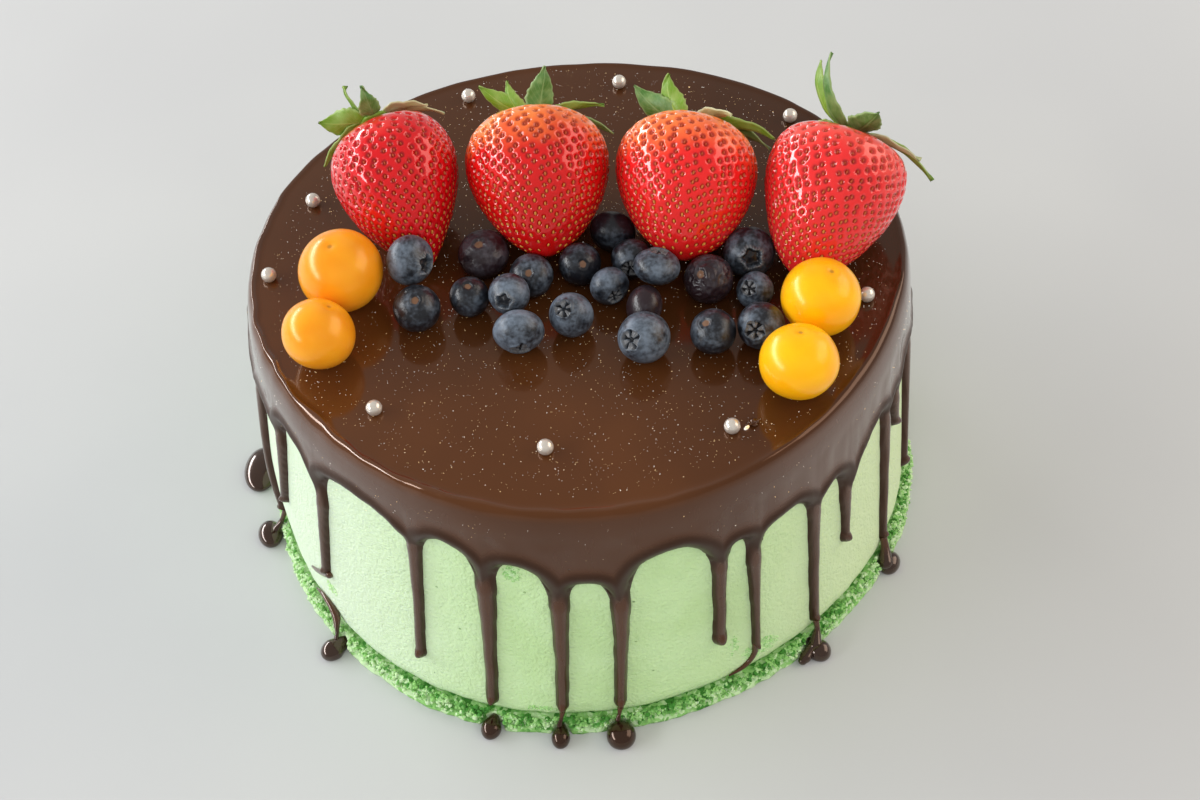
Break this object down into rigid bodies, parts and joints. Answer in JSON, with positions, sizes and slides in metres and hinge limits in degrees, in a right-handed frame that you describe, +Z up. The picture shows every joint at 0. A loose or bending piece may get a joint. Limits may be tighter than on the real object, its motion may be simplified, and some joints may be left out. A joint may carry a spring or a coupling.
{
  "type": "fresh fruit cake",
  "caption": "Round uncut cake in mint-green frosting under a dark chocolate drip glaze, topped with strawberries, blueberries, physalis and sugar pearls.",
  "frame": {"origin": "centre of the frosted drum's flat underside, on the axis of the drum's top", "axes": "+Z up, -Y towards the front that the strawberry tips point to, +X to the right of someone facing that front"},
  "size_m": [0.2245, 0.2139, 0.1446],
  "materials": {
    "mint_frosting": "matte whipped mint-green frosting",
    "frosting_scraps": "rough granular brighter green frosting scraps",
    "chocolate_glaze": "mirror-smooth dark chocolate glaze",
    "strawberry_skin": "glossy seeded fruit skin",
    "strawberry_leaf": "satin leaf",
    "blueberry_skin": "dark waxy skin with a pale bloom",
    "physalis_skin": "smooth glossy fruit skin"
  },
  "bodies": {
    "root": {"frosted_cake": "mint_frosting", "crumb_border": "frosting_scraps", "chocolate_glaze": "chocolate_glaze", "foot_drop_1": "chocolate_glaze", "foot_drop_2": "chocolate_glaze", "foot_drop_3": "chocolate_glaze", "foot_drop_4": "chocolate_glaze", "foot_drop_5": "chocolate_glaze", "foot_drop_6": "chocolate_glaze", "foot_drop_7": "chocolate_glaze", "foot_drop_8": "chocolate_glaze", "strawberry_1": "strawberry_skin", "calyx_1": "strawberry_leaf", "strawberry_2": "strawberry_skin", "calyx_2": "strawberry_leaf", "strawberry_3": "strawberry_skin", "calyx_3": "strawberry_leaf", "strawberry_4": "strawberry_skin", "calyx_4": "strawberry_leaf", "blueberry_01": "blueberry_skin", "blueberry_02": "blueberry_skin", "blueberry_03": "blueberry_skin", "blueberry_04": "blueberry_skin", "blueberry_05": "blueberry_skin", "blueberry_06": "blueberry_skin", "blueberry_07": "blueberry_skin", "blueberry_08": "blueberry_skin", "blueberry_09": "blueberry_skin", "blueberry_10": "blueberry_skin", "blueberry_11": "blueberry_skin", "blueberry_12": "blueberry_skin", "blueberry_13": "blueberry_skin", "blueberry_14": "blueberry_skin", "blueberry_15": "blueberry_skin", "blueberry_16": "blueberry_skin", "blueberry_17": "blueberry_skin", "blueberry_18": "blueberry_skin", "blueberry_19": "blueberry_skin", "blueberry_20": "blueberry_skin", "physalis_1": "physalis_skin", "physalis_2": "physalis_skin", "physalis_3": "physalis_skin", "physalis_4": "physalis_skin"}
  },
  "joints": []
}
